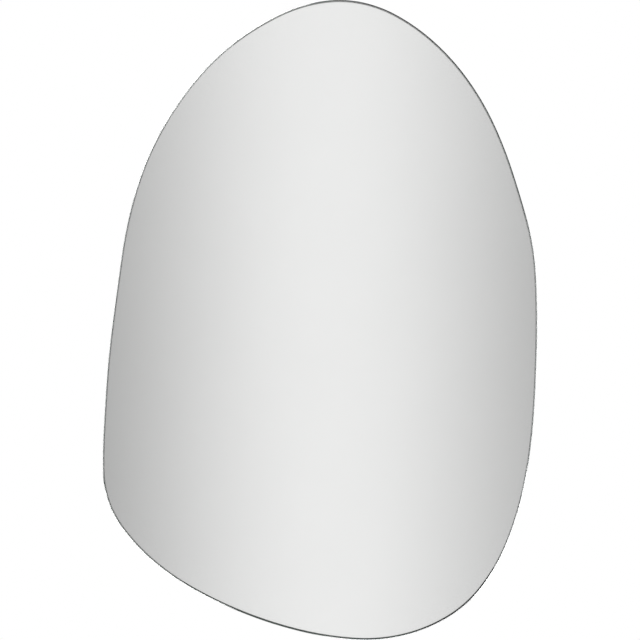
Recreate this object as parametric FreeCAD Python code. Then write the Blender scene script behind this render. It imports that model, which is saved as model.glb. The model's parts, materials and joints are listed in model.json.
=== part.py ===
import FreeCAD, Part
import math
import os

# Frameless wall mirror with a free, pebble-like outline, hung on a two-part aluminium rail.
# Millimetres. X runs to the right and Z up, as seen from the room. The wall is the plane y = 0
# and the mirror faces -Y. The origin lies on the wall, in the middle of the wall rail's holes.
# "depth" is a distance out from the wall, so a depth of 10 is y = -10.

# ---- Pane -----------------------------------------------------------------------------------
PANE_WIDTH = 611.0
PANE_HEIGHT = 900.0
# The pane's edge, clockwise from its crown: across and up from the pane's middle, and the way
# the edge runs there in degrees from +X. Two tangent arcs join each point to the next, and the
# whole is then fitted to the width and height above.
OUTLINE = [
    (8.5, 448.5, 7),
    (108, 428, -29),
    (208.5, 336.5, -54.5),
    (270, 209.5, -72),
    (303, 68, -86.5),
    (302, -110, -93),
    (284.5, -245.5, -103),
    (224, -380, -129),
    (125.5, -442, -164.5),
    (-22, -439.5, 167),
    (-180, -378, 150.5),
    (-281.5, -288.5, 125),
    (-305.5, -212, 91),
    (-301.5, -105, 86.5),
    (-279, 90, 82),
    (-216, 279.5, 59),
    (-114, 395, 36),
]
PANE_THICKNESS = 5.0
ARRIS = 1.0                # ground facet on both of the pane's rims
COATING_THICKNESS = 0.1    # silver and its protective paint
COATING_MARGIN = 0.2       # bare glass left between the coating and the arris
FILM_THICKNESS = 0.2
FILM_MARGIN = 4.0          # film's edge, in from the pane's edge

# ---- Backing board and what bonds it --------------------------------------------------------
BOARD_THICKNESS = 12.0
BOARD_MARGIN = 45.0        # board's edge, in from the pane's edge
BOARD_ROUNDING = 2.0
BOND_THICKNESS = 1.2       # foam tape and adhesive between film and board
BOND_COUNT = 7             # uprights of adhesive and tape by turns, adhesive outermost
BOND_SIDE = 45.0           # middle of the outermost upright, in from the board's side
BOND_END = 15.0            # ends of tape and beads, in from the board's edge
TAPE_WIDTH = 19.0
BEAD_WIDTH = 10.0

# ---- Hanging rails --------------------------------------------------------------------------
RAIL_LENGTH = 300.0
RAIL_WALL = 2.0            # thickness of the extrusion
RAIL_FLANGE = 26.0         # height of the part that is screwed on
RAIL_LIP = 12.0            # height of the lip beyond the web
RAIL_CLEARANCE = 0.4       # between the nested lips, and from each lip to wall or board
RAIL_ROUNDING = 0.6        # outer corner of the web
LIP_ROUNDING = 0.4         # corners of the lip's tip
RAIL_MARGIN = 20.0         # mirror rail's upper corners, below the board's edge
WALL_HOLE_RADIUS = 2.4     # for 4.5 mm wall screws
WALL_HOLE_COUNT = 4
WALL_HOLE_END = 30.0       # outermost hole, in from the rail's end

# ---- Wood screws, one size throughout -------------------------------------------------------
SCREW_SKIN = 2.0           # board left in front of the mirror rail's screws
SCREW_RADIUS = 1.75
SCREW_HEAD_RADIUS = 3.5
SCREW_TIP = 2.5            # length of the point
SCREW_CLEARANCE = 0.2      # round the shank, where it passes through rail and bumpers
RECESS_LENGTH = 3.8        # cross recess in the head
RECESS_WIDTH = 0.9
RECESS_DEPTH = 1.1
RAIL_SCREW_COUNT = 5
RAIL_SCREW_END = 20.0      # outermost screw, in from the rail's end

# ---- Wall bumpers ---------------------------------------------------------------------------
BUMPER_RADIUS = 12.0
BUMPER_SPREAD = 300.0      # distance between the two
BUMPER_MARGIN = 25.0       # bumper's side, above the board's edge
BUMPER_ROUNDING = 1.0
BUMPER_HEAD_SINK = 1.2     # screw head's depth below the bumper's wall face
BUMPER_HEAD_CLEARANCE = 0.6    # round the head

# ---- Depths out from the wall, worked out from the stack ------------------------------------
LIP_DEPTH = 2 * RAIL_CLEARANCE + RAIL_WALL         # back face of the wall rail's lip
RAIL_DEPTH = LIP_DEPTH + RAIL_WALL                 # front face of that lip
BOARD_BACK = RAIL_DEPTH + RAIL_CLEARANCE
BOARD_FRONT = BOARD_BACK + BOARD_THICKNESS
FILM_BACK = BOARD_FRONT + BOND_THICKNESS
COATING_BACK = FILM_BACK + FILM_THICKNESS
PANE_BACK = COATING_BACK + COATING_THICKNESS
RAIL_HEAD_TOP = BOARD_BACK - RAIL_WALL             # mirror rail's screws, flush with its flange
SCREW_LENGTH = RAIL_WALL + BOARD_THICKNESS - SCREW_SKIN

# ---- Heights of the nested rails, above the wall rail's holes -------------------------------
WEB_TOP = RAIL_FLANGE / 2
LIP_TOP = WEB_TOP + RAIL_LIP
MIRROR_RAIL_HOLES = LIP_TOP + RAIL_FLANGE / 2
MIRROR_RAIL_TOP = LIP_TOP + RAIL_FLANGE

os.makedirs("parts", exist_ok=True)
Vector = FreeCAD.Vector
INTO_ROOM = Vector(0, -1, 0)
TINY = 0.001


def at(across, depth, height):
    return Vector(across, -depth, height)


def save(name, solids):
    shape = solids[0] if len(solids) == 1 else Part.makeCompound(solids)
    shape.exportStep(f"parts/{name}.step")
    print(f"{name:20s} solids {len(shape.Solids)}  volume {shape.Volume / 1000:10.2f} cm3"
          f"  valid {shape.isValid()}")


def spread(count, first, last):
    """Evenly spaced places from first to last."""
    return [first + (last - first) * i / (count - 1) for i in range(count)]


def about_middle(count, distance):
    """Evenly spaced places about the rails' middle, the outermost this distance apart."""
    return spread(count, -distance / 2, distance / 2)


def upright_span(face, across, width):
    """Lowest and highest place that an upright strip of this width can have inside a face."""
    box = face.BoundBox
    lows, highs = [], []
    for side in (across - width / 2, across + width / 2):
        line = Part.makeLine(Vector(side, box.YMin, box.ZMin), Vector(side, box.YMin, box.ZMax))
        run = face.common(line).BoundBox
        lows.append(run.ZMin)
        highs.append(run.ZMax)
    return max(lows), min(highs)


# ---- Outline: tangent arcs, and the same arcs moved inwards ---------------------------------
def arc_joint(start, leaving, end, arriving):
    """Where two tangent arcs meet, one leaving start and the other arriving at end."""
    chord = end - start
    a = 2 * (leaving.dot(arriving) - 1)
    b = 2 * chord.dot(leaving + arriving)
    c = chord.dot(chord)
    reach = 2 * c / (b + math.sqrt(b * b - 4 * a * c))
    return (start + leaving * reach + end - arriving * reach) * 0.5


def turned(chord, leaving):
    """The way an arc runs at its end, from its chord and the way it leaves its start."""
    unit = Vector(chord).normalize()
    return unit * (2 * unit.dot(leaving)) - leaving


def edge_stations(wider, taller):
    """Ends of all the arcs, with the way the edge runs there, of the outline stretched so much."""
    chosen = []
    for across, up, degrees in OUTLINE:
        angle = math.radians(degrees)
        run = Vector(wider * math.cos(angle), 0, taller * math.sin(angle)).normalize()
        chosen.append((at(wider * across, 0, taller * up), run))
    stations = []
    for (start, leaving), (end, arriving) in zip(chosen, chosen[1:] + chosen[:1]):
        joint = arc_joint(start, leaving, end, arriving)
        stations.append((start, leaving))
        stations.append((joint, turned(joint - start, leaving)))
    return stations


def tangent_arc(start, leaving, end):
    """Arc between two points that leaves the first one this way."""
    chord = end - start
    unit = Vector(chord).normalize()
    slope = unit.dot(leaving)
    bulge = (leaving - unit * slope) * (chord.Length / (2 * (1 + slope)))
    if bulge.Length < TINY:
        return Part.makeLine(start, end)
    return Part.Arc(start, start + chord * 0.5 + bulge, end).toShape()


def edge_face(stations):
    edges = []
    for (start, leaving), (end, _) in zip(stations, stations[1:] + stations[:1]):
        edges.append(tangent_arc(start, leaving, end))
    return Part.Face(Part.Wire(edges))


def pane_stations():
    """The outline's stations at the pane's own width and height."""
    drawn = edge_face(edge_stations(1, 1)).BoundBox
    return edge_stations(PANE_WIDTH / drawn.XLength, PANE_HEIGHT / drawn.ZLength)


def outline_face(margin, middle):
    """Flat face inside the pane's edge by margin, with the pane's middle at this place."""
    moved = []
    for point, run in pane_stations():
        inwards = Vector(run.z, 0, -run.x)
        moved.append((middle + point + inwards * margin, run))
    return edge_face(moved)


def pane_middle():
    """Where the pane's middle hangs on the wall: its weight is under the rails' middle, and the
    board's edge passes just above the mirror rail's upper corners."""
    origin = Vector(0, 0, 0)
    weight = outline_face(0, origin).CenterOfMass.x
    _, highest = upright_span(outline_face(BOARD_MARGIN, origin), weight, RAIL_LENGTH)
    return at(-weight, 0, MIRROR_RAIL_TOP + RAIL_MARGIN - highest)


PANE_MIDDLE = pane_middle()


def hung_face(margin, depth):
    return outline_face(margin, PANE_MIDDLE + INTO_ROOM * depth)


def sheet(margin, depth, thickness):
    return hung_face(margin, depth).extrude(INTO_ROOM * thickness)


def rim_edges(solid):
    """Edges that go round a flat sheet's front and back."""
    return [e for e in solid.Edges if e.BoundBox.YLength < TINY]


# ---- Pane, coating and film -----------------------------------------------------------------
def mirror_glass():
    pane = sheet(0, PANE_BACK, PANE_THICKNESS)
    return pane.makeChamfer(ARRIS, rim_edges(pane))


def silver_coating():
    return sheet(ARRIS + COATING_MARGIN, COATING_BACK, COATING_THICKNESS)


def safety_film():
    return sheet(FILM_MARGIN, FILM_BACK, FILM_THICKNESS)


# ---- Tape and adhesive ----------------------------------------------------------------------
def bond_uprights(which, width):
    """Place, low end and high end of every second upright, from the first (0) or second (1)."""
    board = hung_face(BOARD_MARGIN, BOARD_FRONT)
    first = board.BoundBox.XMin + BOND_SIDE
    last = board.BoundBox.XMax - BOND_SIDE
    uprights = []
    for across in spread(BOND_COUNT, first, last)[which::2]:
        low, high = upright_span(board, across, width)
        uprights.append((across, low + BOND_END, high - BOND_END))
    return uprights


def foam_tape_strips():
    strips = []
    for across, low, high in bond_uprights(1, TAPE_WIDTH):
        corner = at(across - TAPE_WIDTH / 2, FILM_BACK, low)
        strips.append(Part.makeBox(TAPE_WIDTH, BOND_THICKNESS, high - low, corner))
    return strips


def bead(across, low, high):
    """Flattened bead with round ends."""
    r = BEAD_WIDTH / 2
    bottom, top = low + r, high - r
    left, right = across - r, across + r
    d = BOARD_FRONT
    edges = [
        Part.makeLine(at(left, d, bottom), at(left, d, top)),
        Part.Arc(at(left, d, top), at(across, d, high), at(right, d, top)).toShape(),
        Part.makeLine(at(right, d, top), at(right, d, bottom)),
        Part.Arc(at(right, d, bottom), at(across, d, low), at(left, d, bottom)).toShape(),
    ]
    return Part.Face(Part.Wire(edges)).extrude(INTO_ROOM * BOND_THICKNESS)


def adhesive_beads():
    return [bead(across, low, high) for across, low, high in bond_uprights(0, BEAD_WIDTH)]


# ---- Screws ---------------------------------------------------------------------------------
def turned_solid(profile, across, height):
    """Solid of revolution about a line square to the wall, from (radius, depth) corners."""
    corners = [at(across + radius, depth, height) for radius, depth in profile]
    face = Part.Face(Part.makePolygon(corners + corners[:1]))
    return face.revolve(at(across, 0, height), INTO_ROOM, 360)


def screw_seat(across, height, top, bottom):
    """Space for a screw: a seat for its head at the top, and a clear hole down to the bottom."""
    hole = SCREW_RADIUS + SCREW_CLEARANCE
    seat = top + SCREW_HEAD_RADIUS - hole
    cone = turned_solid([(0, top), (SCREW_HEAD_RADIUS, top), (hole, seat), (0, seat)], across, height)
    return cone.fuse(Part.makeCylinder(hole, bottom - top, at(across, top, height), INTO_ROOM))


def wood_screw(across, height, top):
    """Countersunk screw that points into the room, with the top of its head at this depth."""
    neck = top + SCREW_HEAD_RADIUS - SCREW_RADIUS
    tip = top + SCREW_LENGTH
    profile = [
        (0, top),
        (SCREW_HEAD_RADIUS, top),
        (SCREW_RADIUS, neck),
        (SCREW_RADIUS, tip - SCREW_TIP),
        (0, tip),
    ]
    screw = turned_solid(profile, across, height)
    long, short = RECESS_LENGTH, RECESS_WIDTH
    for width, tall in ((long, short), (short, long)):
        corner = at(across - width / 2, top + RECESS_DEPTH, height - tall / 2)
        screw = screw.cut(Part.makeBox(width, RECESS_DEPTH, tall, corner))
    return screw


def rail_screw_places():
    return about_middle(RAIL_SCREW_COUNT, RAIL_LENGTH - 2 * RAIL_SCREW_END)


def bumper_places():
    """Both bumpers at one height, as low as keeps each of them on the board."""
    board = hung_face(BOARD_MARGIN, BOARD_BACK)
    middles = about_middle(2, BUMPER_SPREAD)
    edges = [upright_span(board, across, 2 * BUMPER_RADIUS)[0] for across in middles]
    height = max(edges) + BUMPER_MARGIN + BUMPER_RADIUS
    return [(across, height) for across in middles]


def mirror_rail_screws():
    return [wood_screw(x, MIRROR_RAIL_HOLES, RAIL_HEAD_TOP) for x in rail_screw_places()]


def bumper_screws():
    return [wood_screw(across, height, BUMPER_HEAD_SINK) for across, height in bumper_places()]


# ---- Backing board --------------------------------------------------------------------------
def backing_board():
    board = sheet(BOARD_MARGIN, BOARD_BACK, BOARD_THICKNESS)
    board = board.makeFillet(BOARD_ROUNDING, rim_edges(board))
    for screw in mirror_rail_screws() + bumper_screws():
        board = board.cut(screw)
    return board


# ---- Hanging rails --------------------------------------------------------------------------
def rounded_section(corners):
    """Face in the plane x = 0 from (depth, height, rounding) of its square corners."""
    points = [at(0, depth, height) for depth, height, _ in corners]
    count = len(points)
    edges, ends = [], []
    for i in range(count):
        rounding = corners[i][2]
        into = (points[i] - points[i - 1]).normalize()
        out = (points[(i + 1) % count] - points[i]).normalize()
        first = points[i] - into * rounding
        last = points[i] + out * rounding
        if rounding:
            middle = points[i] + (out - into) * (rounding * (1 - math.sqrt(0.5)))
            edges.append(Part.Arc(first, middle, last).toShape())
        ends.append((first, last))
    for i in range(count):
        edges.append(Part.makeLine(ends[i - 1][1], ends[i][0]))
    return Part.Face(Part.Wire(Part.sortEdges(edges)[0]))


def rail():
    """Plain rail as it sits on the wall: lip upwards, and centred across."""
    corners = [
        (0, -RAIL_FLANGE / 2, 0),
        (RAIL_WALL, -RAIL_FLANGE / 2, 0),
        (RAIL_WALL, WEB_TOP - RAIL_WALL, 0),
        (RAIL_DEPTH, WEB_TOP - RAIL_WALL, RAIL_ROUNDING),
        (RAIL_DEPTH, LIP_TOP, LIP_ROUNDING),
        (LIP_DEPTH, LIP_TOP, LIP_ROUNDING),
        (LIP_DEPTH, WEB_TOP, 0),
        (0, WEB_TOP, 0),
    ]
    bar = rounded_section(corners).extrude(Vector(RAIL_LENGTH, 0, 0))
    bar.translate(Vector(-RAIL_LENGTH / 2, 0, 0))
    return bar


def wall_rail():
    bar = rail()
    for across in about_middle(WALL_HOLE_COUNT, RAIL_LENGTH - 2 * WALL_HOLE_END):
        bar = bar.cut(Part.makeCylinder(WALL_HOLE_RADIUS, RAIL_WALL, at(across, 0, 0), INTO_ROOM))
    return bar


def mirror_rail():
    """The same extrusion turned over: its flange on the board, its lip behind the other's."""
    bar = rail()
    bar.rotate(Vector(0, 0, 0), Vector(1, 0, 0), 180)
    bar.translate(at(0, BOARD_BACK, MIRROR_RAIL_HOLES))
    for across in rail_screw_places():
        bar = bar.cut(screw_seat(across, MIRROR_RAIL_HOLES, RAIL_HEAD_TOP, BOARD_BACK))
    return bar


# ---- Wall bumpers ---------------------------------------------------------------------------
def wall_bumper(across, height):
    body = Part.makeCylinder(BUMPER_RADIUS, BOARD_BACK, at(across, 0, height), INTO_ROOM)
    wall_rim = [e for e in body.Edges if e.BoundBox.YLength < TINY and e.BoundBox.YMax > -TINY]
    body = body.makeFillet(BUMPER_ROUNDING, wall_rim)
    well = SCREW_HEAD_RADIUS + BUMPER_HEAD_CLEARANCE
    body = body.cut(Part.makeCylinder(well, BUMPER_HEAD_SINK, at(across, 0, height), INTO_ROOM))
    return body.cut(screw_seat(across, height, BUMPER_HEAD_SINK, BOARD_BACK))


left_place, right_place = bumper_places()
save("mirror_glass", [mirror_glass()])
save("silver_coating", [silver_coating()])
save("safety_film", [safety_film()])
save("foam_tape_strips", foam_tape_strips())
save("adhesive_beads", adhesive_beads())
save("backing_board", [backing_board()])
save("mirror_rail", [mirror_rail()])
save("mirror_rail_screws", mirror_rail_screws())
save("wall_rail", [wall_rail()])
save("left_wall_bumper", [wall_bumper(*left_place)])
save("right_wall_bumper", [wall_bumper(*right_place)])
save("bumper_screws", bumper_screws())
print("pane's middle:", PANE_MIDDLE, " bumpers:", left_place, right_place)
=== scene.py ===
# %% [markdown]
# # A frameless mirror with a pebble-like outline
# The mirror is one pane of float glass, silvered on its back. Behind it are a safety film, a
# black backing board, a hanging rail in two parts and two rubber bumpers. The construction is
# loaded first as a fixed frame, and every visible piece is then modelled around it and finished
# with its own procedural material. Everything is in metres, and the wall is the plane y = 0.

# %% Load the fixed frame
import json
import math

import bpy
from mathutils import Matrix, Vector


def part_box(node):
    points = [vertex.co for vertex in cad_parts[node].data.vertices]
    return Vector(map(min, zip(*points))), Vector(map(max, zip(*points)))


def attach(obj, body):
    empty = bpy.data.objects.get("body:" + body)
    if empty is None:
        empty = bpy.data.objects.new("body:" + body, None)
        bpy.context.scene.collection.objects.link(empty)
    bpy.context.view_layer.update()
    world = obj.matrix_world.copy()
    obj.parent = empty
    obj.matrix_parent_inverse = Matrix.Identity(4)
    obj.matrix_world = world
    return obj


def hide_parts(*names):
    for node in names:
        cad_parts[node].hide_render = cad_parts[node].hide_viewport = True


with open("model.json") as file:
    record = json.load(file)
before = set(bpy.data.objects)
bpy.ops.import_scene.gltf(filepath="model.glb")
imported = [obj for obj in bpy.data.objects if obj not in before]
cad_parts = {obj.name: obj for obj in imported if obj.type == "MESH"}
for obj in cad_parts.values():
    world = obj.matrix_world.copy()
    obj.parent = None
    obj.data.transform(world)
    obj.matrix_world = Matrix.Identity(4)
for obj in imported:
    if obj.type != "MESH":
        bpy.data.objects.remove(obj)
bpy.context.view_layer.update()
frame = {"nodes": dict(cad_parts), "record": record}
MM = 0.001
TINY = 0.00001

# %% [markdown]
# ## Sizes
# Most sizes can be read from the frame, so that a piece always fits what is behind it. What the
# frame can't tell, such as the width of an arris, is named here, in metres.

# %% Sizes that the frame gives, and the few that it doesn't
pane_low, pane_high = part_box("mirror_glass")
coating_low, coating_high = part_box("silver_coating")
film_low, film_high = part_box("safety_film")
board_low, board_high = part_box("backing_board")
pane_middle = (pane_low + pane_high) / 2

ARRIS = 1.0 * MM
COATING_MARGIN = coating_low.x - pane_low.x
FILM_MARGIN = film_low.x - pane_low.x
BOARD_MARGIN = 45 * MM
BOARD_ROUNDING = 2 * MM
print("pane", [round(v / MM, 2) for v in pane_high - pane_low], "mm")

# %% [markdown]
# ## Working as by hand
# Blender's operators act on what is selected, so a script selects as carefully as a hand does.
# These helpers empty the selection, pick parts of a mesh by their place, and settle a finished
# object at the origin with its place in its mesh, as the frame's own nodes are.

# %% Selecting
def select_only(*pieces):
    """Leaves edit mode and selects just these objects, the first one active."""
    if bpy.context.object and bpy.context.object.mode != "OBJECT":
        bpy.ops.object.mode_set(mode="OBJECT")
    bpy.ops.object.select_all(action="DESELECT")
    for piece in pieces:
        piece.select_set(True)
    bpy.context.view_layer.objects.active = pieces[0]


def edit_all(piece):
    """Opens the piece in edit mode with all of it selected."""
    select_only(piece)
    bpy.ops.object.mode_set(mode="EDIT")
    bpy.ops.mesh.select_all(action="SELECT")


def close_edit():
    bpy.ops.object.mode_set(mode="OBJECT")


def pick(piece, kind, wanted):
    """In edit mode, selects the vertices, edges or faces that the test wants."""
    select_only(piece)
    bpy.ops.object.mode_set(mode="EDIT")
    bpy.ops.mesh.select_mode(type=kind)
    bpy.ops.mesh.select_all(action="DESELECT")
    close_edit()
    mesh = piece.data
    if kind == "VERT":
        chosen = [wanted(v.co) for v in mesh.vertices]
        mesh.vertices.foreach_set("select", chosen)
    if kind == "EDGE":
        ends = [[mesh.vertices[i].co for i in e.vertices] for e in mesh.edges]
        mesh.edges.foreach_set("select", [wanted(start, end) for start, end in ends])
    if kind == "FACE":
        chosen = [wanted(f.center, f.normal) for f in mesh.polygons]
        mesh.polygons.foreach_set("select", chosen)
    bpy.ops.object.mode_set(mode="EDIT")


# %% Starting and settling a piece
SMOOTH_BELOW = math.radians(30)


def new_piece(name, mesh):
    """A new object with this mesh, in the scene."""
    piece = bpy.data.objects.new(name, mesh)
    bpy.context.scene.collection.objects.link(piece)
    return piece


def apply_place():
    """Moves the active object's place and size into its mesh, and gives the object."""
    bpy.ops.object.transform_apply(location=True, rotation=True, scale=True)
    return bpy.context.object


def new_box(middle, size):
    bpy.ops.object.select_all(action="DESELECT")
    bpy.ops.mesh.primitive_cube_add(size=1, location=middle, scale=size)
    return apply_place()


def turn_outwards(piece):
    """All faces one way, and that way out: the face nearest the room must look at the room."""
    bpy.ops.mesh.select_all(action="SELECT")
    bpy.ops.mesh.normals_make_consistent(inside=False)
    close_edit()
    nearest = min(piece.data.polygons, key=lambda face: face.center.y)
    bpy.ops.object.mode_set(mode="EDIT")
    if nearest.normal.y > 0:
        bpy.ops.mesh.flip_normals()


def settle(piece):
    """Merges doubles, turns faces outwards, applies the place and shades curved faces smooth."""
    select_only(piece)
    apply_place()
    edit_all(piece)
    bpy.ops.mesh.remove_doubles(threshold=TINY / 2)
    turn_outwards(piece)
    close_edit()
    bpy.ops.object.shade_smooth_by_angle(angle=SMOOTH_BELOW)
    print(f"{piece.name}: {len(piece.data.polygons)} faces")
    return piece


def soften(piece, width, segments=2, angle=35):
    """Rounds every edge sharper than this angle, and applies the rounding."""
    select_only(piece)
    bevel = piece.modifiers.new("soften", "BEVEL")
    bevel.width = width
    bevel.segments = segments
    bevel.limit_method = "ANGLE"
    bevel.angle_limit = math.radians(angle)
    bevel.use_clamp_overlap = True
    bpy.ops.object.modifier_apply(modifier=bevel.name)


def bevel_picked(width, segments=1):
    """Bevels the edges that are picked, and leaves edit mode."""
    bpy.ops.mesh.bevel(offset=width, offset_type="OFFSET", segments=segments, affect="EDGES")
    close_edit()


def extrude(move):
    bpy.ops.mesh.extrude_region_move(TRANSFORM_OT_translate={"value": move})


def cut(piece, tool):
    """Takes the tool's shape out of the piece and throws the tool away."""
    select_only(piece)
    boolean = piece.modifiers.new("cut", "BOOLEAN")
    boolean.operation = "DIFFERENCE"
    boolean.solver = "EXACT"
    boolean.object = tool
    bpy.ops.object.modifier_apply(modifier=boolean.name)
    bpy.data.objects.remove(tool)


def place(piece, body, slot, *nodes):
    """The piece rides on a body and stands for these nodes, which it hides. The slot is not used.
    """
    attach(piece, body)
    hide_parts(*nodes)
    return piece


# %% [markdown]
# ## The free outline
# The pane's edge is a free line of tangent arcs. The frame's mesh already has corner points that
# lie exactly on it, but the straight runs between them would show as facets along a polished
# edge. Tracing the line again by eye would never fit the pane. So the rim is taken from a copy
# of the frame's pane, turned into a curve whose automatic handles round it off between its
# points, and turned back into a mesh eight times as fine.

# %% A fine, smooth copy of the pane's rim
RIM_DEPTH = pane_high.y - ARRIS
RIM_STEPS = 8


def smooth_rim():
    rim = new_piece("rim", frame["nodes"]["mirror_glass"].data.copy())
    edit_all(rim)
    bpy.ops.mesh.remove_doubles(threshold=TINY)
    pick(rim, "VERT", lambda co: abs(co.y - RIM_DEPTH) > TINY)
    bpy.ops.mesh.delete(type="VERT")
    close_edit()
    bpy.ops.object.convert(target="CURVE")
    bpy.ops.object.mode_set(mode="EDIT")
    bpy.ops.curve.select_all(action="SELECT")
    bpy.ops.curve.spline_type_set(type="BEZIER")
    bpy.ops.curve.handle_type_set(type="AUTOMATIC")
    close_edit()
    rim.data.resolution_u = RIM_STEPS
    bpy.ops.object.convert(target="MESH")
    print("rim", len(rim.data.vertices), "points")
    return rim


rim = smooth_rim()


# %% [markdown]
# ## Sheets cut to the outline
# Pane, coating, film and board are all the same outline, each a little smaller than the last.
# Filling the rim and insetting it gives each sheet its margin, and one extrusion its thickness.

# %% A flat sheet inside the outline
def outline_sheet(name, margin, low, high):
    """Solid sheet between two depths (low is nearer the room), inside the rim by margin."""
    sheet = new_piece(name, rim.data.copy())
    edit_all(sheet)
    bpy.ops.mesh.edge_face_add()
    bpy.ops.transform.translate(value=(0, high - RIM_DEPTH, 0))
    if margin:
        bpy.ops.mesh.select_mode(type="FACE")
        bpy.ops.mesh.select_all(action="SELECT")
        bpy.ops.mesh.inset(thickness=margin)
        bpy.ops.mesh.select_all(action="INVERT")
        bpy.ops.mesh.delete(type="FACE")
    bpy.ops.mesh.select_all(action="SELECT")
    extrude((0, low - high, 0))
    return settle(sheet)


def round_the_sheet(start, end):
    """Test for edges that go round a sheet's front or back, and not through its thickness."""
    return abs(start.y - end.y) < TINY


# %% [markdown]
# ## Pane
# A glass pane with a flat edge, and an arris ground on both of its rims so that no hand is cut.
# The bevel operator with one segment makes that facet. The pane stops a hair short of the
# silver, because two faces at one place flicker against each other.

# %% Glass pane
SILVER_GAP = 0.03 * MM


def model_pane():
    front, back = pane_low.y, pane_high.y - SILVER_GAP
    pane = outline_sheet("glass_pane", 0, front, back)
    pick(pane, "EDGE", round_the_sheet)
    bevel_picked(ARRIS)
    return settle(pane)


pane = place(model_pane(), "mirror_side", "clear_glass", "mirror_glass")

# %% [markdown]
# ## Silver layer and safety film
# The silver is a film too thin to see, and the grey paint that protects it gives the sheet its
# tenth of a millimetre. Both are one sheet here with two finishes: bright towards the glass,
# grey behind and round the rim. The safety film lies on the paint and stops short of the edge.

# %% Silver layer and safety film
silver = place(
    outline_sheet("silver_layer", COATING_MARGIN, coating_low.y, coating_high.y),
    "mirror_side", "silver_coating", "silver_coating")
film = place(
    outline_sheet("safety_film_sheet", FILM_MARGIN, film_low.y, film_high.y),
    "mirror_side", "safety_film", "safety_film")

# %% [markdown]
# ## Backing board
# Fine fibreboard, cut on a router along the same outline and rounded over with a small cutter on
# both rims. A bevel with a few segments makes that rounding.

# %% Backing board
ROUNDING_SEGMENTS = 5


def model_board():
    board = outline_sheet("board", BOARD_MARGIN, board_low.y, board_high.y)
    pick(board, "EDGE", round_the_sheet)
    bevel_picked(BOARD_ROUNDING, ROUNDING_SEGMENTS)
    return settle(board)


board = place(model_board(), "mirror_side", "painted_board", "backing_board")

# %% [markdown]
# ## Where the repeated pieces are
# Tape, adhesive and screws each share one node of the frame. Separating a merged copy of the node
# into loose parts tells where each of its solids lies.

# %% Boxes of a node's solids
def solids_of(node):
    """(lowest corner, highest corner) of each solid in a node, from left to right."""
    copy = new_piece("copy", frame["nodes"][node].data.copy())
    edit_all(copy)
    bpy.ops.mesh.remove_doubles(threshold=TINY)
    bpy.ops.mesh.separate(type="LOOSE")
    close_edit()
    boxes = []
    for part in list(bpy.context.selected_objects):
        points = [v.co for v in part.data.vertices]
        low = Vector([min(p[i] for p in points) for i in range(3)])
        high = Vector([max(p[i] for p in points) for i in range(3)])
        boxes.append((low, high))
        bpy.data.objects.remove(part)
    boxes.sort(key=lambda box: box[0].x)
    print(node, len(boxes), "solids")
    return boxes


def joined(name, parts):
    """One object from several."""
    select_only(*parts)
    bpy.ops.object.join()
    whole = bpy.context.object
    whole.name = name
    whole.data.name = name
    return settle(whole)


# %% [markdown]
# ## Foam tape and adhesive
# Three strips of foam tape hold the pane while the adhesive between them sets. A strip is a box
# whose foam bulges a little at its sides. A bead of adhesive has been squeezed flat, so its sides
# wander: a fine grid with its side vertices nudged at random, from a fixed seed, gives that line.

# %% Foam tape strips
TAPE_SOFTNESS = 0.35 * MM


def model_tape(low, high):
    strip = new_box((low + high) / 2, high - low)
    soften(strip, TAPE_SOFTNESS, 3)
    return strip


tape = joined("tape_strips", [model_tape(*box) for box in solids_of("foam_tape_strips")])
place(tape, "mirror_side", "foam_tape", "foam_tape_strips")

# %% Adhesive beads
BEAD_COLUMNS = 4
BEAD_CELL = 6 * MM
BEAD_WANDER = 0.9 * MM
BEAD_SOFTNESS = 0.4 * MM


def model_bead(low, high, seed):
    middle, size = (low + high) / 2, high - low
    cells = round(size.z / BEAD_CELL)
    bpy.ops.object.select_all(action="DESELECT")
    bpy.ops.mesh.primitive_grid_add(
        x_subdivisions=BEAD_COLUMNS, y_subdivisions=cells, size=1,
        location=(middle.x, high.y, middle.z), rotation=(math.pi / 2, 0, 0))
    bead = bpy.context.object
    bead.scale = (size.x - 2 * BEAD_WANDER, size.z, 1)
    apply_place()
    side = size.x / 2 - BEAD_WANDER - TINY
    pick(bead, "VERT", lambda co: abs(co.x - middle.x) > side)
    bpy.ops.transform.vertex_random(offset=BEAD_WANDER, uniform=1, normal=0, seed=seed)
    bpy.ops.mesh.select_all(action="SELECT")
    bpy.ops.transform.resize(value=(1, 0, 1), center_override=(middle.x, high.y, middle.z))
    pick(bead, "VERT", lambda co: abs(co.x - middle.x) > side / 2
         and min(co.z - low.z, high.z - co.z) < BEAD_CELL / 2)
    shorter = 1 - BEAD_CELL / 2 / size.z
    bpy.ops.transform.resize(value=(1, 1, shorter), center_override=middle)
    bpy.ops.mesh.select_all(action="SELECT")
    extrude((0, -size.y, 0))
    close_edit()
    settle(bead)
    soften(bead, BEAD_SOFTNESS, 3, 60)
    return bead


beads = [model_bead(*box, seed) for seed, box in enumerate(solids_of("adhesive_beads"))]
adhesive = place(joined("adhesive_runs", beads), "mirror_side", "mirror_adhesive",
                 "adhesive_beads")

# %% [markdown]
# ## Turned shapes
# Screws, bumpers and drills are all round about a line square to the wall. A lathe works along a
# profile, and so does this helper: it starts from a filled circle and extrudes and scales it
# from ring to ring.

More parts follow.
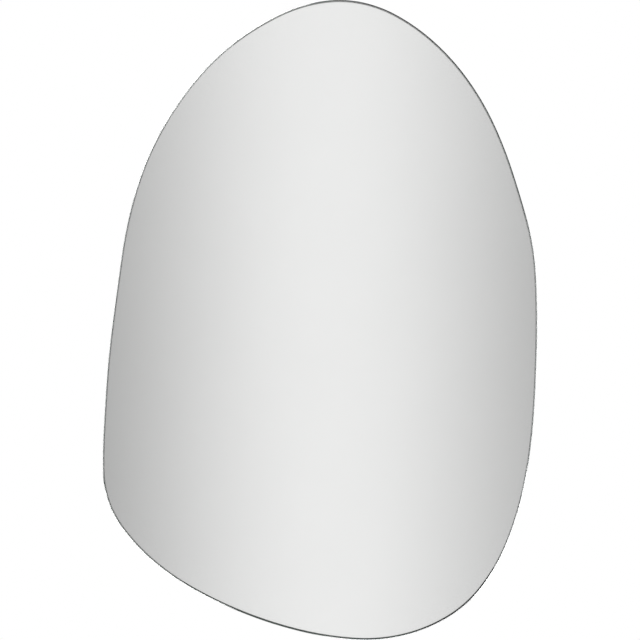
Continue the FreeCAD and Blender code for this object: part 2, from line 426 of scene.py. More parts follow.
# %% A lathe made of extrusions
def turned(name, profile, across, height, sides=48):
    """Round solid about a line along Y, from (radius, y) rings. A radius of 0 ends in a point."""
    radius, y = profile[0]
    bpy.ops.object.select_all(action="DESELECT")
    bpy.ops.mesh.primitive_circle_add(
        vertices=sides, radius=radius, fill_type="NGON", enter_editmode=True,
        location=(across, y, height), rotation=(math.pi / 2, 0, 0))
    for (r0, y0), (r1, y1) in zip(profile, profile[1:]):
        extrude((0, y1 - y0, 0))
        bpy.ops.transform.resize(value=(r1 / r0, 1, r1 / r0),
                                 center_override=(across, y1, height))
        if r1 == 0:
            bpy.ops.mesh.merge(type="COLLAPSE")
    close_edit()
    piece = bpy.context.object
    piece.name = name
    return settle(piece)


# %% [markdown]
# ## Hanging rails
# Both rails are cut from one aluminium extrusion: a flange that is screwed on, a short web, and
# a lip that stands off the flange. The bar starts as the flange, and its web and lip are
# extruded from it. The mirror's rail is the same bar turned over, so that its lip hooks behind
# the other. Corners get the small radii of the die, and the saw leaves the ends square.

# %% One bar of the extrusion
RAIL_WALL = 2 * MM
RAIL_ROUNDING = 0.6 * MM
RAIL_SOFTNESS = 0.18 * MM
wall_rail_low, wall_rail_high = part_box("wall_rail")
mirror_rail_low, mirror_rail_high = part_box("mirror_rail")
RAIL_LENGTH = wall_rail_high.x - wall_rail_low.x
FLANGE_TOP = 13 * MM
FACING = 0.9
print("rail", round(RAIL_LENGTH / MM), "mm long")


def pull_out(piece, wanted, *moves):
    """Picks faces and extrudes them by each move in turn."""
    pick(piece, "FACE", wanted)
    for move in moves:
        extrude(move)
    close_edit()


def model_bar(name):
    """Bar as it hangs on the wall, lip up."""
    low, high = wall_rail_low, wall_rail_high
    web_bottom = FLANGE_TOP - RAIL_WALL
    bar = new_box((0, -RAIL_WALL / 2, (low.z + web_bottom) / 2),
                  (RAIL_LENGTH, RAIL_WALL, web_bottom - low.z))
    bar.name = name
    pull_out(bar, lambda middle, normal: normal.z > FACING, (0, 0, RAIL_WALL))
    gap = high.y - low.y - 2 * RAIL_WALL
    pull_out(bar, lambda middle, normal: normal.y < -FACING and middle.z > web_bottom,
             (0, -gap, 0), (0, -RAIL_WALL, 0))
    pull_out(bar, lambda middle, normal: normal.z > FACING and middle.y < low.y + RAIL_WALL,
             (0, 0, high.z - FLANGE_TOP))
    corner = Vector((0, low.y, web_bottom))
    pick(bar, "EDGE", lambda start, end: (start.yz - corner.yz).length < TINY
         and (end.yz - corner.yz).length < TINY)
    bevel_picked(RAIL_ROUNDING, ROUNDING_SEGMENTS)
    settle(bar)
    soften(bar, RAIL_SOFTNESS, 2, 50)
    return settle(bar)


# %% [markdown]
# ### Holes in the rails
# The wall rail has plain holes, a touch wider at their mouths where the burr was taken off. The
# mirror's rail is countersunk, so that its screws lie flush and clear the wall. Both are drilled
# with a turned tool and a boolean, as a drill would do it.

# %% Wall rail
BURR = 0.35 * MM
PAST = 1 * MM


def wall_holes():
    """(across, radius) of each hole, from the mounts in the record."""
    holes = []
    for mount in frame["record"]["mounts"]:
        if mount["kind"] == "bolt_pattern":
            half = mount["dims"]["spacing_x_mm"] * MM / 2
            radius = mount["dims"]["hole_r_mm"] * MM
            holes += [(-half, radius), (half, radius)]
    return holes


def model_wall_rail():
    bar = model_bar("wall_rail_bar")
    for across, radius in wall_holes():
        wide = radius + BURR + PAST
        drill = turned("drill", [
            (wide, PAST), (radius, -BURR), (radius, -RAIL_WALL + BURR),
            (wide, -RAIL_WALL - PAST)], across, 0)
        cut(bar, drill)
    return settle(bar)


wall_rail = place(model_wall_rail(), "wall_side", "rail_aluminium", "wall_rail")

# %% Mirror rail, with its countersinks
rail_screw_boxes = solids_of("mirror_rail_screws")
HEAD_CLEARANCE = 0.2 * MM
HEAD_RADIUS = (rail_screw_boxes[0][1].x - rail_screw_boxes[0][0].x) / 2
SHANK_RADIUS = 1.75 * MM


def screw_place(box):
    """Across, depth of its flat top and height."""
    low, high = box
    return (low.x + high.x) / 2, high.y, (low.z + high.z) / 2


def model_mirror_rail():
    bar = model_bar("mirror_rail_bar")
    edit_all(bar)
    wall_middle = (wall_rail_low + wall_rail_high) / 2
    bpy.ops.transform.rotate(value=math.pi, orient_axis="X", center_override=wall_middle)
    shift = (mirror_rail_low + mirror_rail_high) / 2 - wall_middle
    bpy.ops.transform.translate(value=shift)
    close_edit()
    for box in rail_screw_boxes:
        across, top, height = screw_place(box)
        head = HEAD_RADIUS + BURR / 2
        hole = SHANK_RADIUS + HEAD_CLEARANCE
        seat = top - (head - hole)
        drill = turned("drill", [
            (head + PAST, top + PAST), (hole, seat), (hole, top - RAIL_WALL - PAST)],
            across, height)
        cut(bar, drill)
    return settle(bar)


mirror_rail = place(model_mirror_rail(), "mirror_side", "rail_aluminium", "mirror_rail")

# %% [markdown]
# ## Screws
# Countersunk wood screws with a cross recess. The head has a thin cylindrical rim under its flat
# top, and the recess tapers to the bottom as the driver's tip does. The recess is cut with a
# small tapered cross: a box whose four sides are extruded and whose bottom is scaled down.

# %% Screws
HEAD_RIM = 0.25 * MM
HEAD_EDGE = 0.12 * MM
RECESS_REACH = 2.0 * MM
RECESS_WALL = 0.95 * MM
RECESS_DEPTH = 1.5 * MM
RECESS_ABOVE = 0.3 * MM
RECESS_TAPER = 0.42
TIP = 2.5 * MM


def model_recess(across, top, height):
    """Tapered cross that the driver leaves in the head."""
    size = Vector((RECESS_WALL, RECESS_DEPTH + RECESS_ABOVE, RECESS_WALL))
    cross = new_box((across, top + RECESS_ABOVE - size.y / 2, height), size)
    arm = RECESS_REACH - RECESS_WALL / 2
    for way in (Vector((1, 0, 0)), Vector((-1, 0, 0)), Vector((0, 0, 1)), Vector((0, 0, -1))):
        pull_out(cross, lambda middle, normal: normal.dot(way) > FACING
                 and (middle - Vector((across, middle.y, height))).length < RECESS_WALL,
                 way * arm)
    pick(cross, "VERT", lambda co: co.y < top - RECESS_DEPTH / 2)
    bpy.ops.transform.resize(value=(RECESS_TAPER, 1, RECESS_TAPER),
                             center_override=(across, top, height))
    close_edit()
    return settle(cross)


def model_screw(box):
    across, top, height = screw_place(box)
    tip = box[0].y
    neck = top - HEAD_RIM - (HEAD_RADIUS - SHANK_RADIUS)
    screw = turned("screw", [
        (HEAD_RADIUS - HEAD_EDGE, top), (HEAD_RADIUS, top - HEAD_EDGE),
        (HEAD_RADIUS, top - HEAD_RIM), (SHANK_RADIUS, neck), (SHANK_RADIUS, tip + TIP),
        (0, tip)], across, height)
    cut(screw, model_recess(across, top, height))
    return settle(screw)


rail_screws = joined("rail_screw_set", [model_screw(box) for box in rail_screw_boxes])
place(rail_screws, "mirror_side", "screw_steel", "mirror_rail_screws")
bumper_screw_boxes = solids_of("bumper_screws")
bumper_screws = joined("bumper_screw_pair", [model_screw(box) for box in bumper_screw_boxes])
place(bumper_screws, "mirror_side", "screw_steel", "bumper_screws")

# %% [markdown]
# ## Wall bumpers
# Each bumper is a moulded rubber disc. It has a soft outer corner on its wall side, a shallow
# ring that grips the wall, a line round its side where the halves of the mould met, and a well
# that keeps the screw's head off the wall.

# %% Wall bumpers
BUMPER_SIDES = 96
BUMPER_CORNER = 1.0 * MM
CORNER_STEPS = 5
ROOT_EDGE = 0.3 * MM
WELL_RADIUS = 4.1 * MM
WELL_EDGE = 0.25 * MM
RING_DEPTH = 0.35 * MM
RING = ((8.4 * MM, 0), (8.0 * MM, RING_DEPTH), (7.2 * MM, RING_DEPTH), (6.8 * MM, 0))
PARTING_PLACE = 2.1 * MM
PARTING_HEIGHT = 0.12 * MM
PARTING_HALF = 0.15 * MM


def model_bumper(name, node, screw_box):
    low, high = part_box(node)
    across, top, height = screw_place(screw_box)
    radius = (high.x - low.x) / 2
    wall, root = high.y, low.y
    parting = root + PARTING_PLACE
    profile = [
        (radius - ROOT_EDGE, root), (radius, root + ROOT_EDGE),
        (radius, parting - PARTING_HALF), (radius + PARTING_HEIGHT, parting),
        (radius, parting + PARTING_HALF)]
    for step in range(CORNER_STEPS + 1):
        angle = step / CORNER_STEPS * math.pi / 2
        profile.append((radius - BUMPER_CORNER * (1 - math.cos(angle)),
                        wall - BUMPER_CORNER * (1 - math.sin(angle))))
    profile = [(r - PARTING_HEIGHT, y) for r, y in profile]
    profile += [(r, wall - depth) for r, depth in RING]
    profile += [(WELL_RADIUS + WELL_EDGE, wall), (WELL_RADIUS, wall - WELL_EDGE),
                (WELL_RADIUS, top)]
    bumper = turned(name, profile, across, height, BUMPER_SIDES)
    hole = SHANK_RADIUS + HEAD_CLEARANCE
    drill = turned("drill", [
        (HEAD_RADIUS + PAST / 2, top + PAST / 2), (hole, top - (HEAD_RADIUS - hole)),
        (hole, root - PAST)], across, height)
    cut(bumper, drill)
    return settle(bumper)


left_bumper = place(
    model_bumper("left_bumper", "left_wall_bumper", bumper_screw_boxes[0]),
    "mirror_side", "bumper_rubber", "left_wall_bumper")
right_bumper = place(
    model_bumper("right_bumper", "right_wall_bumper", bumper_screw_boxes[1]),
    "mirror_side", "bumper_rubber", "right_wall_bumper")
bpy.data.objects.remove(rim)

# %% [markdown]
# ## Building materials from nodes
# A material is a small program drawn as a graph. These helpers add a node, link its inputs, and
# start a material or a shared group, so that each finish below reads as a short recipe.

# %% Node helpers
def feed(tree, node, inputs):
    """Gives each named input an output to link, or a plain value."""
    for name, value in inputs.items():
        if isinstance(value, bpy.types.NodeSocket):
            tree.links.new(value, node.inputs[name])
        else:
            node.inputs[name].default_value = value


def add(tree, kind, inputs=None, **settings):
    """A node with its settings and inputs."""
    node = tree.nodes.new(kind)
    for name, value in settings.items():
        setattr(node, name, value)
    feed(tree, node, inputs or {})
    return node


def maths(tree, operation, a, b=0.0):
    return add(tree, "ShaderNodeMath", {0: a, 1: b}, operation=operation).outputs[0]


def blend(tree, share, low, high):
    """A colour between two, by share."""
    mix = add(tree, "ShaderNodeMix", {0: share, 6: low, 7: high}, data_type="RGBA")
    return mix.outputs[2]


def ramp(tree, value, start, end, low=0.0, high=1.0, **settings):
    """Goes from low to high while the value goes from start to end, and no further."""
    return add(tree, "ShaderNodeMapRange", {
        "Value": value, "From Min": start, "From Max": end, "To Min": low, "To Max": high},
        **settings).outputs["Result"]


def new_group(name, numbers, result):
    """An empty group that takes a spot and these numbers and gives one. Also its two ends."""
    tree = bpy.data.node_groups.new(name, "ShaderNodeTree")
    tree.interface.new_socket("Spot", in_out="INPUT", socket_type="NodeSocketVector")
    for label, default in numbers.items():
        socket = tree.interface.new_socket(label, in_out="INPUT",
                                           socket_type="NodeSocketFloat")
        socket.default_value = default
    tree.interface.new_socket(result, in_out="OUTPUT", socket_type="NodeSocketFloat")
    start = tree.nodes.new("NodeGroupInput")
    end = tree.nodes.new("NodeGroupOutput")
    return tree, start.outputs, end.inputs[result]


def use(tree, group, **inputs):
    """Places a shared group in a material and gives its result."""
    node = add(tree, "ShaderNodeGroup", node_tree=group)
    feed(tree, node, {name.capitalize(): value for name, value in inputs.items()})
    return node.outputs[0]


def new_material(name):
    """A material, its node tree, its Principled shader and the object's own coordinates."""
    material = bpy.data.materials.new(name)
    material.use_nodes = True
    tree = material.node_tree
    shader = tree.nodes["Principled BSDF"]
    spot = add(tree, "ShaderNodeTexCoord").outputs["Object"]
    return material, tree, shader, spot


def bump(tree, height, distance, strength=1.0, normal=None):
    """Normal of a surface that rises and falls by height times distance, in metres."""
    inputs = {"Strength": strength, "Distance": distance, "Height": height}
    if normal is not None:
        inputs["Normal"] = normal
    return add(tree, "ShaderNodeBump", inputs).outputs[0]


def finish(tree, shader, colour, rough, normal=None):
    """Links a recipe's colour, roughness and normal to its shader."""
    feed(tree, shader, {"Base Color": colour, "Roughness": rough})
    if normal is not None:
        feed(tree, shader, {"Normal": normal})


def dress(piece, *materials):
    piece.data.materials.clear()
    for material in materials:
        piece.data.materials.append(material)


def dress_faces(piece, slot, wanted):
    """Puts the faces that the test wants on one of the piece's material slots."""
    pick(piece, "FACE", wanted)
    piece.active_material_index = slot
    bpy.ops.object.material_slot_assign()
    close_edit()


# %% [markdown]
# ### Shared effects
# Four effects are groups, and a finish asks for one by its sizes: an uneven cloudiness, fine
# lines drawn along one way, wear on the edges that hands and tools touch, and a plain weave.

# %% Cloudiness
NOISE_RANGE = (0.3, 0.7)


def make_clouds():
    tree, given, result = new_group(
        "clouds", {"Size": 0.01, "Detail": 3.0, "Low": 0.0, "High": 1.0}, "Value")
    scale = maths(tree, "DIVIDE", 1.0, given["Size"])
    noise = add(tree, "ShaderNodeTexNoise", {
        "Vector": given["Spot"], "Scale": scale, "Detail": given["Detail"]}).outputs["Fac"]
    tree.links.new(ramp(tree, noise, *NOISE_RANGE, given["Low"], given["High"]), result)
    return tree


clouds = make_clouds()


def patchy(tree, spot, size, low=0.0, high=1.0, detail=3.0):
    """Clouds of this size in metres, from low to high."""
    return use(tree, clouds, spot=spot, size=size, detail=detail, low=low, high=high)


# %% Drawn lines
def make_lines():
    tree, given, result = new_group(
        "drawn_lines", {"Length": 0.2, "Spacing": 0.0005}, "Value")
    along = maths(tree, "DIVIDE", 1.0, given["Length"])
    across = maths(tree, "DIVIDE", 1.0, given["Spacing"])
    stretch = add(tree, "ShaderNodeCombineXYZ", {"X": along, "Y": across, "Z": across})
    where = add(tree, "ShaderNodeVectorMath", {
        0: given["Spot"], 1: stretch.outputs[0]}, operation="MULTIPLY")
    noise = add(tree, "ShaderNodeTexNoise", {
        "Vector": where.outputs[0], "Scale": 1.0, "Detail": 4.0, "Roughness": 0.6})
    tree.links.new(ramp(tree, noise.outputs["Fac"], *NOISE_RANGE), result)
    return tree


drawn_lines = make_lines()


# %% Worn edges
SHARP_EDGE = (0.995, 0.8)
WORN_PATCH = (0.45, 0.62)


def make_wear():
    tree, given, result = new_group(
        "worn_edges", {"Reach": 0.001, "Patches": 0.01}, "Mask")
    rounded = add(tree, "ShaderNodeBevel", {"Radius": given["Reach"]}, samples=6)
    true = add(tree, "ShaderNodeNewGeometry").outputs["Normal"]
    alike = add(tree, "ShaderNodeVectorMath", {
        0: rounded.outputs[0], 1: true}, operation="DOT_PRODUCT").outputs["Value"]
    sharp = ramp(tree, alike, *SHARP_EDGE)
    scale = maths(tree, "DIVIDE", 1.0, given["Patches"])
    noise = add(tree, "ShaderNodeTexNoise", {
        "Vector": given["Spot"], "Scale": scale, "Detail": 6.0}).outputs["Fac"]
    tree.links.new(maths(tree, "MULTIPLY", sharp, ramp(tree, noise, *WORN_PATCH)), result)
    return tree


worn_edges = make_wear()


# %% Plain weave
def make_weave():
    tree, given, result = new_group("plain_weave", {"Pitch": 0.002}, "Height")
    turn = maths(tree, "DIVIDE", math.pi, given["Pitch"])
    parts = add(tree, "ShaderNodeSeparateXYZ", {0: given["Spot"]})
    warp = maths(tree, "SINE", maths(tree, "MULTIPLY", parts.outputs["X"], turn))
    weft = maths(tree, "SINE", maths(tree, "MULTIPLY", parts.outputs["Z"], turn))
    over = maths(tree, "MULTIPLY", warp, weft)
    warp_thread = maths(tree, "ABSOLUTE", warp)
    weft_thread = maths(tree, "ABSOLUTE", weft)
    swap = maths(tree, "GREATER_THAN", over, 0.0)
    top = add(tree, "ShaderNodeMix", {0: swap, 2: warp_thread, 3: weft_thread})
    tree.links.new(top.outputs[0], result)
    return tree


plain_weave = make_weave()

# %% [markdown]
# ## Glass
# Clear float glass bends and passes light, and over a long way through it turns green, which is
# why an edge looks green and a face doesn't. Absorption in the volume does that by itself. The
# flat of the edge is polished and still a little uneven. The arrises are only ground and satin;
# their near-black tint is painted shade for the dim gap behind the edge, and makes the thin dark
# line round the mirror. All three are the same glass, each on a material slot of its own.

# %% Clear glass
GLASS_INDEX = 1.52
GLASS_TINT = (0.7, 0.87, 0.8, 1)
GLASS_DENSITY = 2.2
SQUARE = 0.1


def glass_body(tree, shader):
    feed(tree, shader, {"Transmission Weight": 1.0, "IOR": GLASS_INDEX})
    absorb = add(tree, "ShaderNodeVolumeAbsorption", {
        "Color": GLASS_TINT, "Density": GLASS_DENSITY})
    output = tree.nodes["Material Output"]
    tree.links.new(absorb.outputs[0], output.inputs["Volume"])


def clear_glass():
    material, tree, shader, spot = new_material("clear_float_glass")
    glass_body(tree, shader)
    wiped = patchy(tree, spot, 0.09, 0.0, 0.006, detail=4.0)
    finish(tree, shader, (1, 1, 1, 1), wiped)
    return material


# %% Polished edge, and ground arrises tinted with painted shade
def worked_glass(name, dark, light, smooth, rough, grit_depth):
    """Glass that a wheel has worked: tint and roughness wander, and grit has marked it."""
    material, tree, shader, spot = new_material(name)
    glass_body(tree, shader)
    tint = patchy(tree, spot, 0.012)
    colour = blend(tree, tint, dark, light)
    uneven = patchy(tree, spot, 0.004, smooth, rough)
    grit = patchy(tree, spot, 0.0004, detail=2.0)
    finish(tree, shader, colour, uneven, bump(tree, grit, grit_depth))
    return material


polished_edge = worked_glass("polished_glass_edge", (0.6, 0.68, 0.65, 1),
                             (0.72, 0.79, 0.76, 1), 0.03, 0.1, 0.000004)
# The arrises' near-black tint is painted shade, standing in for the dim gap behind the edge.
ground_arris_painted_shade = worked_glass("ground_glass_arris_painted_shade", (0.015, 0.0155, 0.0155, 1),
                            (0.035, 0.036, 0.036, 1), 0.13, 0.21, 0.000008)
dress(pane, clear_glass(), polished_edge, ground_arris_painted_shade)
dress_faces(pane, 1, lambda middle, normal: abs(normal.y) < SQUARE)
dress_faces(pane, 2, lambda middle, normal: SQUARE < abs(normal.y) < FACING)

# %% [markdown]
# ## Silver and its paint
# Silver behind glass is a nearly perfect mirror. Its grey paint is poured on as a curtain, so it
# is smooth with a faint orange-peel.

# %% Silver and paint
def silvering():
    material, tree, shader, spot = new_material("silvering")
    feed(tree, shader, {"Metallic": 1.0})
    tone = patchy(tree, spot, 0.12)
    colour = blend(tree, tone, (0.945, 0.945, 0.94, 1), (0.955, 0.955, 0.95, 1))
    rough = patchy(tree, spot, 0.05, 0.0, 0.004)
    finish(tree, shader, colour, rough)
    return material


def backing_paint():
    material, tree, shader, spot = new_material("grey_backing_paint")
    tone = patchy(tree, spot, 0.03, detail=5.0)
    colour = blend(tree, tone, (0.2, 0.205, 0.215, 1), (0.25, 0.255, 0.265, 1))
    rough = patchy(tree, spot, 0.02, 0.38, 0.55)
    peel = patchy(tree, spot, 0.0015, detail=1.0)
    finish(tree, shader, colour, rough, bump(tree, peel, 0.00003))
    return material


dress(silver, backing_paint(), silvering())
dress_faces(silver, 1, lambda middle, normal: normal.y < -FACING)

# %% [markdown]
# ## Safety film
# A tough plastic film on a woven backing, pale grey with a soft sheen. It shows as a band round
# the board, so its weave, the tiny blisters under it and the creases from rolling it on matter.
# The weave is painted darker where its threads dip: a painted shade between the threads.

# %% Safety film
WEAVE_PITCH = 0.0016
BLISTER_SCALE = 90.0
BLISTER_EDGE = (0.16, 0.05)


def safety_film():
    material, tree, shader, spot = new_material("woven_safety_film")
    weave = use(tree, plain_weave, spot=spot, pitch=WEAVE_PITCH)
    tone = patchy(tree, spot, 0.045, detail=4.0)
    base = blend(tree, tone, (0.47, 0.485, 0.5, 1), (0.55, 0.565, 0.58, 1))
    # Painted shade: the film is darker where the weave's height is lowest, between the threads.
    painted_thread_shade = maths(tree, "MULTIPLY", maths(tree, "SUBTRACT", 1.0, weave), 0.55)
    colour = blend(tree, painted_thread_shade, base, (0.3, 0.315, 0.335, 1))
    rough = patchy(tree, spot, 0.015, 0.3, 0.46)
    creases = patchy(tree, spot, 0.035, detail=2.0)
    rolled = bump(tree, creases, 0.0006, 0.6)
    blisters = add(tree, "ShaderNodeTexVoronoi", {
        "Vector": spot, "Scale": BLISTER_SCALE, "Randomness": 1.0}).outputs["Distance"]
    blistered = bump(tree, ramp(tree, blisters, *BLISTER_EDGE), 0.00006, 1.0, rolled)
    finish(tree, shader, colour, rough, bump(tree, weave, 0.00012, 1.0, blistered))
    return material


dress(film, safety_film())

# %% [markdown]
# ## Foam tape and adhesive
# Closed-cell foam is full of tiny round cells. Cured adhesive is rubbery and a little glossy,
# with the drag marks of its nozzle.

# %% Foam and adhesive
FOAM_SCALE = 2400.0


def foam():
    material, tree, shader, spot = new_material("closed_cell_foam")
    # The cells' pits are painted darker than their walls: painted shade, from the same values as
    # their bump.
    cells = add(tree, "ShaderNodeTexVoronoi", {
        "Vector": spot, "Scale": FOAM_SCALE}).outputs["Distance"]
    colour = blend(tree, cells, (0.78, 0.78, 0.76, 1), (0.9, 0.9, 0.88, 1))
    rough = patchy(tree, spot, 0.004, 0.75, 0.9)
    finish(tree, shader, colour, rough, bump(tree, cells, 0.0001))
    return material


def adhesive_finish():
    material, tree, shader, spot = new_material("cured_adhesive")
    tone = patchy(tree, spot, 0.02, detail=5.0)
    colour = blend(tree, tone, (0.66, 0.65, 0.6, 1), (0.78, 0.77, 0.73, 1))
    rough = patchy(tree, spot, 0.003, 0.3, 0.5)
    drag = patchy(tree, spot, 0.004, detail=2.0)
    finish(tree, shader, colour, rough, bump(tree, drag, 0.0003))
    return material


dress(tape, foam())
dress(adhesive, adhesive_finish())

# %% [markdown]
# ## Painted fibreboard
# Thin black paint on fibreboard sinks into it: the faces stay silky with the roller's
# orange-peel, short fibres show through, and the rims are rubbed to brown in places. Handling
# leaves faint pale scuffs, which are long thin islands of a stretched noise.

# %% Painted board
SCUFF_SIZE = (0.2, 1.0, 0.0024)
SCUFF_PEAKS = (0.7, 0.78)
FIBRE_SCALE = 900.0
FIBRE_PEAKS = (0.6, 0.72)


def scuffs(tree, spot, turn, wanted):
    """Thin scratches along one way: a noise stretched along it, with only its peaks kept."""
    turned_spot = add(tree, "ShaderNodeMapping", {
        "Vector": spot, "Rotation": (0, turn, 0), "Scale": SCUFF_SIZE},
        vector_type="TEXTURE")
    noise = add(tree, "ShaderNodeTexNoise", {
        "Vector": turned_spot.outputs[0], "Scale": 1.0, "Detail": 2.0, "Distortion": 0.3})
    return ramp(tree, noise.outputs["Fac"], *SCUFF_PEAKS, high=wanted)


def painted_board():
    material, tree, shader, spot = new_material("black_painted_board")
    tone = patchy(tree, spot, 0.035, detail=6.0)
    paint = blend(tree, tone, (0.0175, 0.0175, 0.018, 1), (0.0225, 0.0222, 0.022, 1))
    fibres = add(tree, "ShaderNodeTexNoise", {
        "Vector": spot, "Scale": FIBRE_SCALE, "Detail": 3.0, "Distortion": 2.5}).outputs["Fac"]
    lifted = ramp(tree, fibres, *FIBRE_PEAKS, high=0.55)
    fleck = blend(tree, lifted, paint, (0.075, 0.066, 0.056, 1))
    marks = maths(tree, "MAXIMUM", scuffs(tree, spot, 0.5, 0.5), scuffs(tree, spot, -0.8, 0.35))
    marked = blend(tree, marks, fleck, (0.11, 0.107, 0.103, 1))
    rubbed = use(tree, worn_edges, spot=spot, reach=0.0022, patches=0.018)
    colour = blend(tree, rubbed, marked, (0.2, 0.13, 0.075, 1))
    rough = patchy(tree, spot, 0.02, 0.48, 0.6, detail=4.0)
    peel = patchy(tree, spot, 0.0013, detail=2.0)
    rolled = bump(tree, peel, 0.00006)
    finish(tree, shader, colour, rough, bump(tree, fibres, 0.00005, 1.0, rolled))
    return material


dress(board, painted_board())

# %% [markdown]
# ## Mill-finish aluminium
# The die leaves fine lines along the whole bar, the oxide is slightly cloudy, and the edges are
# brighter where other bars have rubbed them.

# %% Aluminium
SMOOTHEST_METAL = 0.34


def mill_aluminium():
    material, tree, shader, spot = new_material("mill_aluminium")
    feed(tree, shader, {"Metallic": 1.0})
    fine = use(tree, drawn_lines, spot=spot, length=0.5, spacing=0.00022)
    broad = use(tree, drawn_lines, spot=spot, length=3.0, spacing=0.0014)
    oxide = patchy(tree, spot, 0.045, detail=5.0)
    lined = blend(tree, fine, (0.7, 0.71, 0.72, 1), (0.8, 0.81, 0.82, 1))
    cloudy = blend(tree, maths(tree, "MULTIPLY", oxide, 0.25), lined, (0.64, 0.65, 0.66, 1))
    rubbed = use(tree, worn_edges, spot=spot, reach=0.0007, patches=0.006)
    colour = blend(tree, rubbed, cloudy, (0.9, 0.9, 0.9, 1))
    rough = maths(tree, "ADD", maths(tree, "MULTIPLY", broad, 0.06),
                  maths(tree, "MULTIPLY", oxide, 0.05))
    rough = maths(tree, "ADD", rough, SMOOTHEST_METAL)
    drawn = bump(tree, fine, 0.000005)
    finish(tree, shader, colour, rough, bump(tree, broad, 0.000012, 1.0, drawn))
    return material


aluminium = mill_aluminium()
dress(wall_rail, aluminium)
dress(mirror_rail, aluminium)

# %% [markdown]
# ## Zinc-plated steel
# Bright zinc is bluish, slightly cloudy, and brighter on its rubbed edges.

# %% Zinc plate
def zinc_plate():
    material, tree, shader, spot = new_material("zinc_plate")
    feed(tree, shader, {"Metallic": 1.0})
    tone = patchy(tree, spot, 0.003, detail=5.0)
    plated = blend(tree, tone, (0.55, 0.57, 0.6, 1), (0.72, 0.73, 0.74, 1))
    rubbed = use(tree, worn_edges, spot=spot, reach=0.0003, patches=0.002)
    colour = blend(tree, rubbed, plated, (0.86, 0.86, 0.86, 1))
    rough = patchy(tree, spot, 0.0012, 0.22, 0.4)
    scratch = patchy(tree, spot, 0.0004)
    finish(tree, shader, colour, rough, bump(tree, scratch, 0.000015))
    return material


zinc = zinc_plate()
dress(rail_screws, zinc)
dress(bumper_screws, zinc)

# %% [markdown]
# ## Moulded rubber
# Matt black, with the fine spark-eroded grain of its mould and grey dust on its edges.

# %% Rubber
def moulded_rubber():
    material, tree, shader, spot = new_material("moulded_rubber")
    tone = patchy(tree, spot, 0.006, detail=6.0)
    black = blend(tree, tone, (0.016, 0.016, 0.017, 1), (0.034, 0.034, 0.034, 1))
    rubbed = use(tree, worn_edges, spot=spot, reach=0.0008, patches=0.003)
    colour = blend(tree, rubbed, black, (0.075, 0.074, 0.072, 1))
    rough = patchy(tree, spot, 0.002, 0.6, 0.82)
    grain = patchy(tree, spot, 0.00035, detail=2.0)
    finish(tree, shader, colour, rough, bump(tree, grain, 0.00004))
    return material


rubber = moulded_rubber()
dress(left_bumper, rubber)
dress(right_bumper, rubber)

# %% [markdown]
# ## Studio
# A mirror shows its surroundings, so the studio is half of its look. Facing it is one broad
# white screen that is brightest in the middle and falls away to both sides: that is the soft
# grey slope over the glass. Two more screens stand further round and give the slanting views a
# band of light. Behind the mirror the room is dim, and only the camera sees plain white there.

# %% World light
SCREEN_MIDDLE = 0.73
SCREEN_WIDTH = 14.62
SCREEN_FALL = 2.09
SCREEN_LIGHT = 0.7
ROOM_LIGHT = 0.18
SHADE_BEHIND = 0.35
BACK_OF_ROOM = (-0.1, 0.2)
CEILING = (0.5, 0.9)
SIDE_SCREENS = ((-47, 14, 0.45), (49, 14, 0.42))


def screen(tree, azimuth, middle, width, light):
    """Brightness at an azimuth of a soft screen whose middle and width are in degrees."""
    off = maths(tree, "DIVIDE", maths(tree, "SUBTRACT", azimuth, math.radians(middle)),
                math.radians(width))
    steep = maths(tree, "POWER", maths(tree, "ABSOLUTE", off), SCREEN_FALL)
    fall = maths(tree, "EXPONENT", maths(tree, "MULTIPLY", steep, -1))
    return maths(tree, "MULTIPLY", fall, light)


def light_world():
    world = bpy.data.worlds.new("studio")
    bpy.context.scene.world = world
    world.use_nodes = True
    tree = world.node_tree
    way = add(tree, "ShaderNodeTexCoord").outputs["Generated"]
    parts = add(tree, "ShaderNodeSeparateXYZ", {0: way}).outputs
    towards = maths(tree, "MULTIPLY", parts["Y"], -1)
    azimuth = maths(tree, "ARCTAN2", parts["X"], towards)
    light = maths(tree, "ADD", ROOM_LIGHT,
                  screen(tree, azimuth, SCREEN_MIDDLE, SCREEN_WIDTH, SCREEN_LIGHT))
    for middle, width, strength in SIDE_SCREENS:
        light = maths(tree, "ADD", light, screen(tree, azimuth, middle, width, strength))
    high = ramp(tree, parts["Z"], *CEILING, interpolation_type="SMOOTHSTEP")
    light = maths(tree, "MAXIMUM", light, high)
    behind = ramp(tree, parts["Y"], *BACK_OF_ROOM, 1.0, SHADE_BEHIND,
                  interpolation_type="SMOOTHSTEP")
    light = maths(tree, "MULTIPLY", light, behind)
    seen = add(tree, "ShaderNodeLightPath").outputs["Is Camera Ray"]
    level = add(tree, "ShaderNodeMix", {0: seen, 2: light, 3: 1.0}).outputs[0]
    background = tree.nodes["Background"]
    tree.links.new(level, background.inputs["Color"])


light_world()


# %% [markdown]
# ### Lamps
# Two large soft boxes stand behind the mirror and light its back. They are broad and not very
# bright, so that the bare metal that mirrors them doesn't burn out, and far enough behind to
# stay out of the arris, which would show them at the upper right. Six narrow ones stand just
# behind its plane, all round it but for the upper right. From the front, the ground arris
# mirrors them, and so the dark line round the glass is paler in some places than in others.
# Each box is set by its angle, counted from the right and upwards, the sector that it spans,
# its distance behind the pane's middle and its brightness.

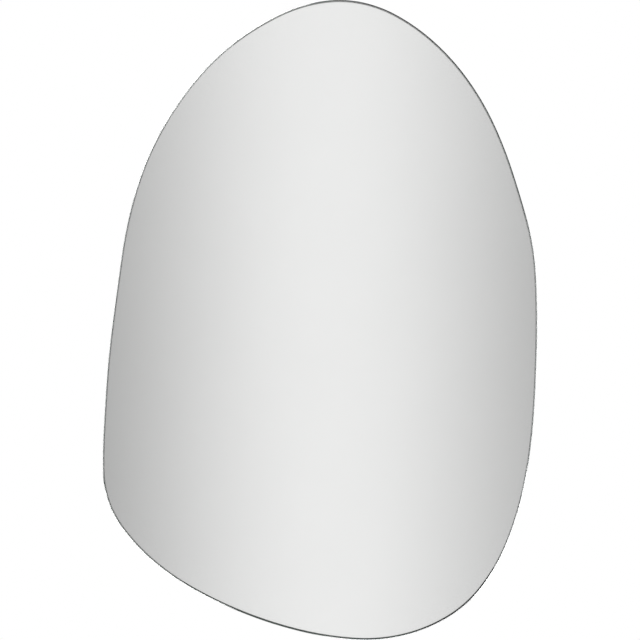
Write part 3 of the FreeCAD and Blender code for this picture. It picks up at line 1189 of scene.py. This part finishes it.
# %% Two lamps on the back
def soft_lamp(name, spot, aim, width, height, light):
    """A soft box of this brightness, its height lying along the wall's plane."""
    bpy.ops.object.light_add(type="AREA", location=spot)
    lamp = bpy.context.object
    lamp.name = name
    lamp.data.shape = "RECTANGLE"
    lamp.data.size = width
    lamp.data.size_y = height
    lamp.data.energy = light * math.pi * width * height
    way = (aim - spot).normalized()
    upright = way.cross(Vector((0, 1, 0))).normalized()
    turn = Matrix((upright.cross(-way), upright, -way)).transposed()
    lamp.rotation_euler = turn.to_euler()
    lamp.visible_camera = False


KEY_BOX = 2.9
FILL_BOX = 2.3
soft_lamp("back_key", Vector((1.0, 2.3, 0.5)), pane_middle, KEY_BOX, KEY_BOX, 1.05)
soft_lamp("back_fill", Vector((-1.4, 1.9, -0.1)), pane_middle, FILL_BOX, FILL_BOX, 0.8)

# %% Narrow soft boxes for the edge
EDGE_BOX_DISTANCE = 1.35
EDGE_BOX_DEPTH = 0.2
EDGE_REACH = 0.33
EDGE_BOXES = {
    "upper_left_box": (127, 60, 0.26, 19),
    "left_box": (178, 42, 0.24, 9),
    "lower_left_box": (-134, 46, 0.28, 16),
    "lower_box": (-74, 40, 0.31, 7.5),
    "lower_right_box": (-37, 32, 0.27, 22),
    "right_box": (-1, 40, 0.245, 9)}
for name, (degrees, span, behind, light) in EDGE_BOXES.items():
    angle = math.radians(degrees)
    out = Vector((math.cos(angle), 0, math.sin(angle)))
    spot = pane_middle + EDGE_BOX_DISTANCE * out + Vector((0, behind, 0))
    height = 2 * EDGE_BOX_DISTANCE * math.tan(math.radians(span / 2))
    soft_lamp(name, spot, pane_middle + EDGE_REACH * out, EDGE_BOX_DEPTH, height, light)
    print(name, [round(v, 2) for v in spot])

# %% Floor
FLOOR_DROP = 1.5
FLOOR_RADIUS = 2.6
FLOOR_FADE = (FLOOR_RADIUS * 0.5, FLOOR_RADIUS * 0.98)


def model_floor():
    bpy.ops.object.select_all(action="DESELECT")
    bpy.ops.mesh.primitive_circle_add(
        vertices=128, radius=FLOOR_RADIUS, fill_type="NGON",
        location=(0, 0, pane_middle.z - FLOOR_DROP))
    floor = apply_place()
    floor.name = "floor"
    return floor


def floor_finish():
    material, tree, shader, spot = new_material("pale_floor")
    tone = patchy(tree, spot, 0.5, detail=5.0)
    colour = blend(tree, tone, (0.84, 0.84, 0.83, 1), (0.88, 0.88, 0.87, 1))
    finish(tree, shader, colour, 0.7)
    flat = add(tree, "ShaderNodeVectorMath", {0: spot, 1: (1, 1, 0)}, operation="MULTIPLY")
    away = add(tree, "ShaderNodeVectorMath", {0: flat.outputs[0]}, operation="LENGTH")
    fade = ramp(tree, away.outputs["Value"], *FLOOR_FADE, 1.0, 0.0,
                interpolation_type="SMOOTHSTEP")
    below = add(tree, "ShaderNodeNewGeometry").outputs["Backfacing"]
    shown = maths(tree, "MULTIPLY", fade, maths(tree, "SUBTRACT", 1.0, below))
    tree.links.new(shown, shader.inputs["Alpha"])
    return material


floor = model_floor()
dress(floor, floor_finish())

# %% [markdown]
# ## Camera
# The picture was taken straight from the front. The distance is a guess, and the lens follows
# from it so that the pane's widest line, just behind the front arris, fills the picture from top
# to bottom.

# %% Camera
CAMERA_DISTANCE = 1.3
PICTURE_PIXELS = 640
PANE_PIXELS = 640.1
SENSOR = 0.036


def aim_camera():
    widest = pane_low.y + ARRIS
    bpy.ops.object.camera_add(
        location=(pane_middle.x, widest - CAMERA_DISTANCE, pane_middle.z),
        rotation=(math.pi / 2, 0, 0))
    camera = bpy.context.object
    view_height = (pane_high.z - pane_low.z) * PICTURE_PIXELS / PANE_PIXELS
    camera.data.sensor_width = SENSOR / MM
    camera.data.lens = SENSOR / MM * CAMERA_DISTANCE / view_height
    bpy.context.scene.camera = camera
    bpy.context.scene.view_settings.view_transform = "Standard"
    print("lens", round(camera.data.lens, 2), "mm")


aim_camera()
